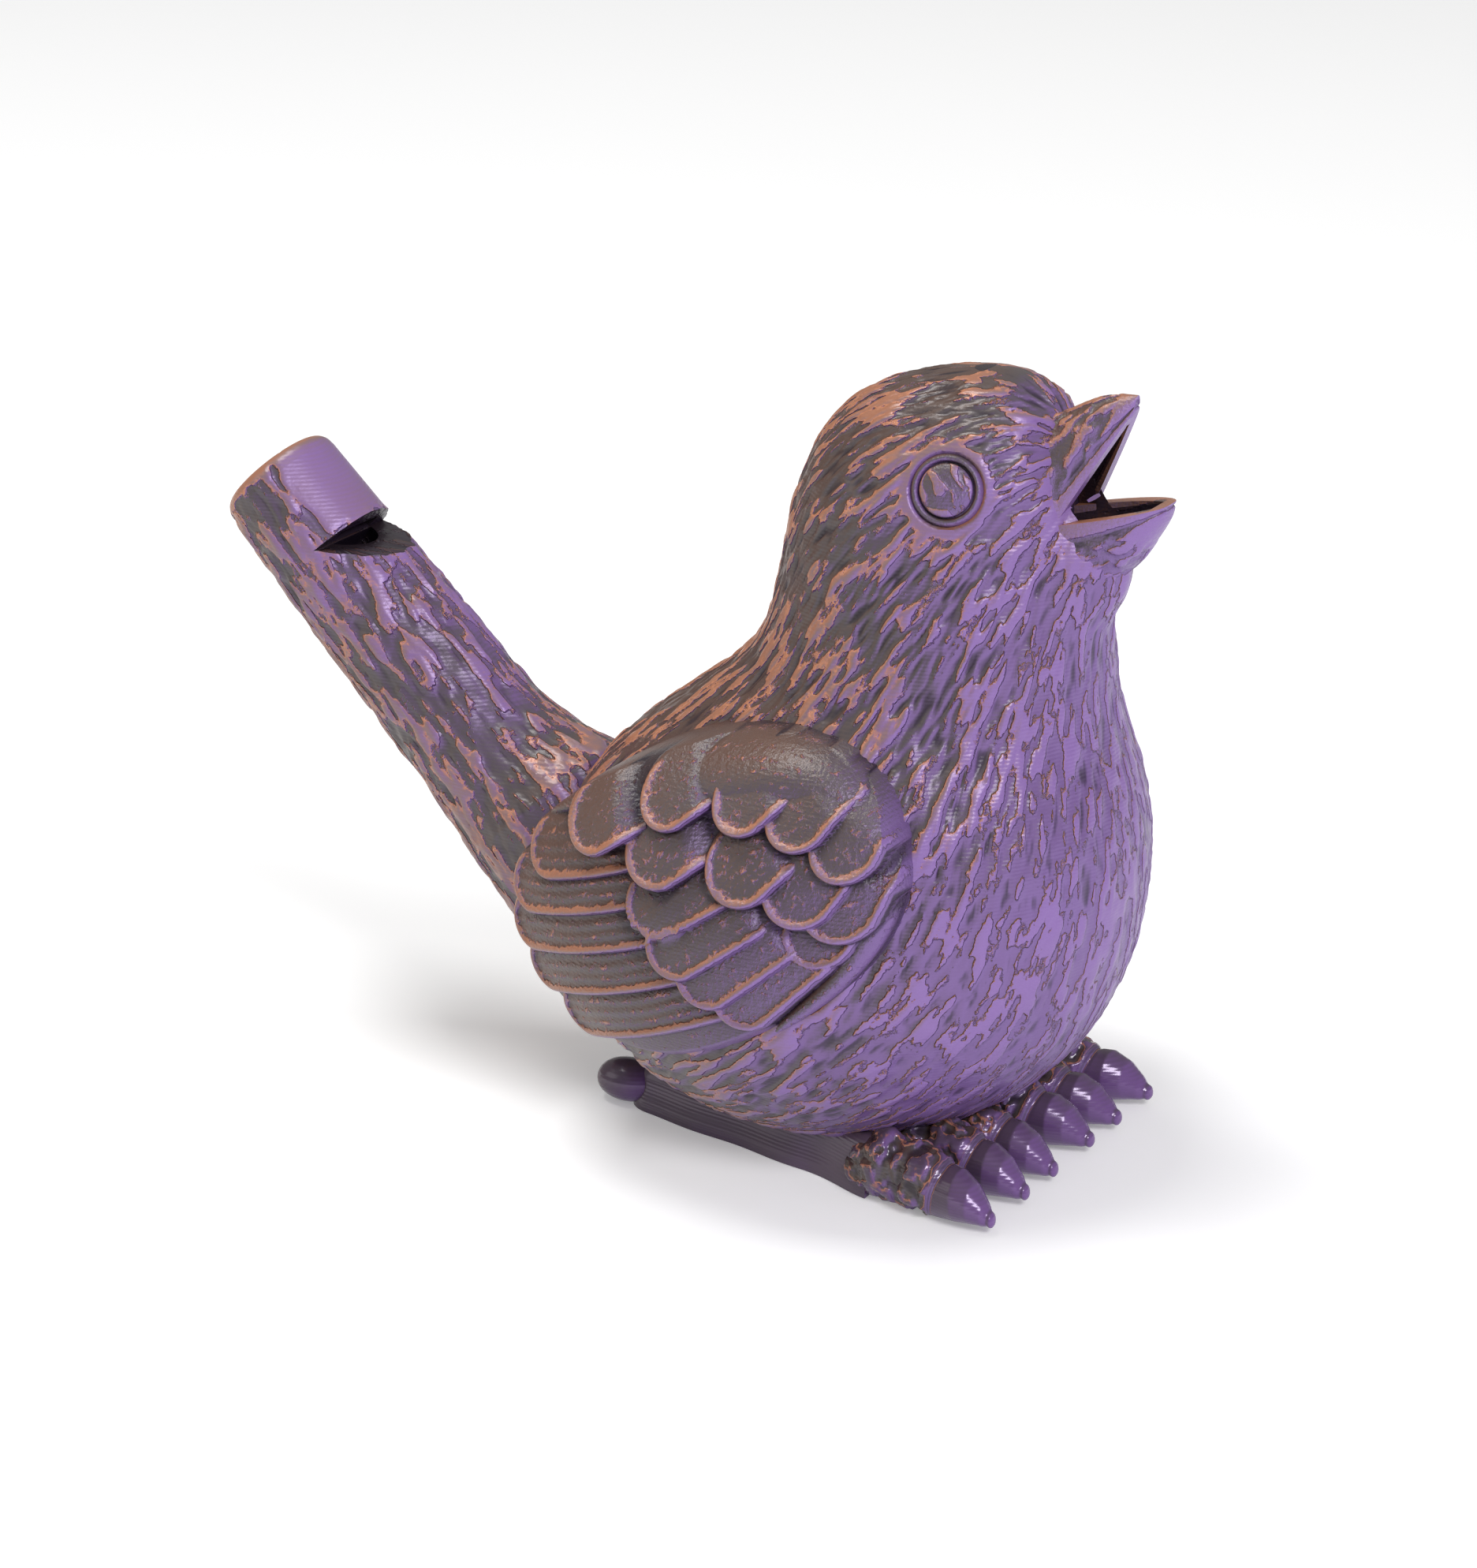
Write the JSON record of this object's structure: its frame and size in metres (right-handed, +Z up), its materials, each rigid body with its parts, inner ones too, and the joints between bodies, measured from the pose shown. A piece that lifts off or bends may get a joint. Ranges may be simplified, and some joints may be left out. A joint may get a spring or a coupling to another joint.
{
  "type": "bird whistle",
  "caption": "Hollow songbird whistle with an open beak, folded scaly wings, clawed feet and a raised tail that is blown like a flute mouthpiece.",
  "frame": {"origin": "on the ground, between the feet, in the middle of the flat sole", "axes": "+X from tail to beak, +Y to the bird's left, +Z up"},
  "size_m": [0.0886, 0.0508, 0.067],
  "materials": {
    "plum_plastic": "silky two-colour print plastic, plum where it faces forward and copper where it faces back"
  },
  "bodies": {
    "root": {"bird_whistle": "plum_plastic"}
  },
  "joints": []
}
